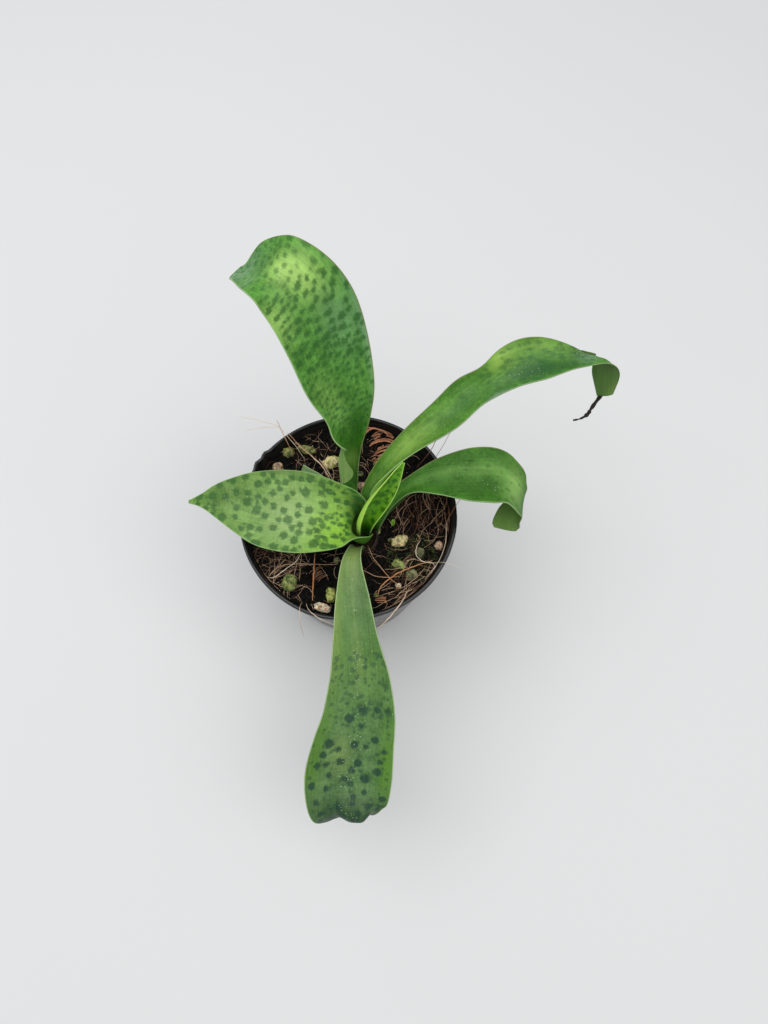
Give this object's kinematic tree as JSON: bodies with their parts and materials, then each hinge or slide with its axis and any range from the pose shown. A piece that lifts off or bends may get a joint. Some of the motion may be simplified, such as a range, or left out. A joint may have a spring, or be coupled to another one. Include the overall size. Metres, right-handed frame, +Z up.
{
  "type": "potted ledebouria petiolata",
  "caption": "Small bulb plant with spotted strap leaves on channelled stalks, growing in a thin round black nursery pot of coir and pumice mix.",
  "frame": {"origin": "middle of the pot's flat underside, on the surface that it stands on", "axes": "+Z up along the pot's axis; the long front leaf points along -Y, and +X is to the right seen from the front"},
  "size_m": [0.1618, 0.1742, 0.1648],
  "materials": {
    "pot": "thin black thermoformed polystyrene, glossy",
    "soil": "damp dark coir and bark mix with loose fibres",
    "bulb": "pale green-brown bulb with dry skins",
    "leaf": "fleshy green leaf with darker spots and a waxy shine",
    "dry_tip": "withered black leaf tip",
    "grit": "rough pumice grains tinged green with algae",
    "bark": "reddish fibrous bark chips"
  },
  "bodies": {
    "root": {"bark_back_long": "bark", "bark_back_middle": "bark", "bark_back_near": "bark", "bark_front_left": "bark", "bark_front_right": "bark", "bulb": "bulb", "grit_back_cream": "grit", "grit_back_flat": "grit", "grit_back_olive": "grit", "grit_back_pink": "grit", "grit_front_grey": "grit", "grit_front_pale": "grit", "grit_front_white": "grit", "grit_front_yellow": "grit", "grit_left_green": "grit", "grit_left_small": "grit", "grit_neck_cream": "grit", "grit_neck_small": "grit", "grit_right_green": "grit", "grit_right_pink": "grit", "grit_right_sage": "grit", "grit_right_yellow": "grit", "leaf_back": "leaf", "leaf_dry_tip": "dry_tip", "leaf_front": "leaf", "leaf_left": "leaf", "leaf_right_long": "leaf", "leaf_right_short": "leaf", "leaf_stub": "leaf", "leaf_young": "leaf", "pot": "pot", "soil": "soil"}
  },
  "joints": []
}
